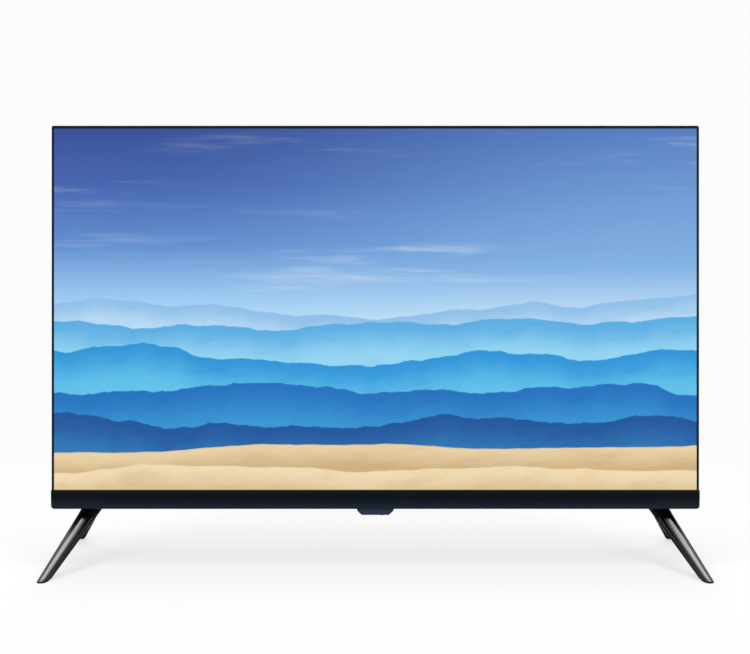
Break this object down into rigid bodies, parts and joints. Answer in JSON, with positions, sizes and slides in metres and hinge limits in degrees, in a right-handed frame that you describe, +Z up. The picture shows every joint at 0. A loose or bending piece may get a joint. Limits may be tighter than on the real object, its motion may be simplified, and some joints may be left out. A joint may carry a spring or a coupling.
{
  "type": "flat screen tv",
  "caption": "Flat television with a thin black rim, a deep bottom bar, a centre sensor tab with a key, and splayed V legs with plated front tubes.",
  "frame": {"origin": "on the floor under the middle of the stand's footprint", "axes": "+Z up, the screen faces -Y, +X to the viewer's right"},
  "size_m": [0.716, 0.1956, 0.4773],
  "materials": {
    "rim_black": "satin black",
    "bar_black": "piano black",
    "cover_black": "fine moulded texture",
    "black_screw": "black oxide",
    "screen": "anti-glare, lit",
    "inner_black": "moulded",
    "film": "translucent film",
    "white_sheet": "diffuse white",
    "strip_white": "white solder mask",
    "clear_lens": "clear moulded",
    "zinc_steel": "zinc-plated sheet",
    "board_green": "solder mask",
    "flex_amber": "polyimide",
    "chip_black": "moulded resin",
    "black_aluminium": "black anodised",
    "bare_aluminium": "extruded",
    "plated_socket": "nickel plated",
    "sleeve_yellow": "moulded",
    "sleeve_white": "moulded",
    "sleeve_red": "moulded",
    "board_tan": "bare laminate",
    "capacitor_blue": "heat-shrink sleeve",
    "smoked_violet": "smoked lens",
    "key_black": "moulded",
    "cone_black": "paper pulp",
    "leg_black": "satin moulded",
    "leg_plated": "black nickel",
    "pad_rubber": "matt",
    "ribbon": "white sleeve",
    "lead_black": "wire sleeve",
    "lead_red": "wire sleeve"
  },
  "bodies": {
    "set": {"front_frame": "rim_black", "bottom_bar": "bar_black", "rear_cover": "cover_black", "cover_screws": "black_screw", "lcd_cell": "screen", "mid_frame": "inner_black", "prism_film": "film", "diffuser_film": "film", "diffuser_plate": "white_sheet", "diffuser_supports": "white_sheet", "reflector_sheet": "white_sheet", "led_strips": "strip_white", "led_lenses": "clear_lens", "back_tray": "zinc_steel", "source_board": "board_green", "panel_flex": "flex_amber", "board_spacers": "zinc_steel", "main_board": "board_green", "processor": "chip_black", "main_heatsink": "black_aluminium", "hdmi_sockets": "plated_socket", "usb_socket": "plated_socket", "headphone_socket": "inner_black", "av_block": "inner_black", "video_sleeve": "sleeve_yellow", "left_audio_sleeve": "sleeve_white", "right_audio_sleeve": "sleeve_red", "aerial_socket": "plated_socket", "power_board": "board_tan", "transformer": "chip_black", "capacitors": "capacitor_blue", "power_heatsink": "bare_aluminium", "mains_inlet": "inner_black", "inlet_pins": "plated_socket", "sensor_tab": "smoked_violet", "sensor_board": "board_green", "ir_receiver": "chip_black", "tact_switch": "chip_black", "left_speaker_box": "inner_black", "right_speaker_box": "inner_black", "speaker_drivers": "zinc_steel", "speaker_cones": "cone_black", "wall_mount_posts": "zinc_steel", "left_leg_bracket": "zinc_steel", "right_leg_bracket": "zinc_steel", "left_leg_body": "leg_black", "right_leg_body": "leg_black", "left_leg_tube": "leg_plated", "right_leg_tube": "leg_plated", "leg_screws": "black_screw", "foot_pads": "pad_rubber", "ribbon_cable": "ribbon", "speaker_leads": "lead_black", "key_lead": "ribbon", "backlight_lead": "lead_red"},
    "key": {"power_key": "key_black"}
  },
  "joints": [
    {"name": "power_key_press", "type": "slide", "parent": "set", "child": "key", "axis": [0, 0, 1], "range_m": [0, 0.0008], "stiffness_N_per_m": 800, "springref_m": -0.0005}
  ]
}
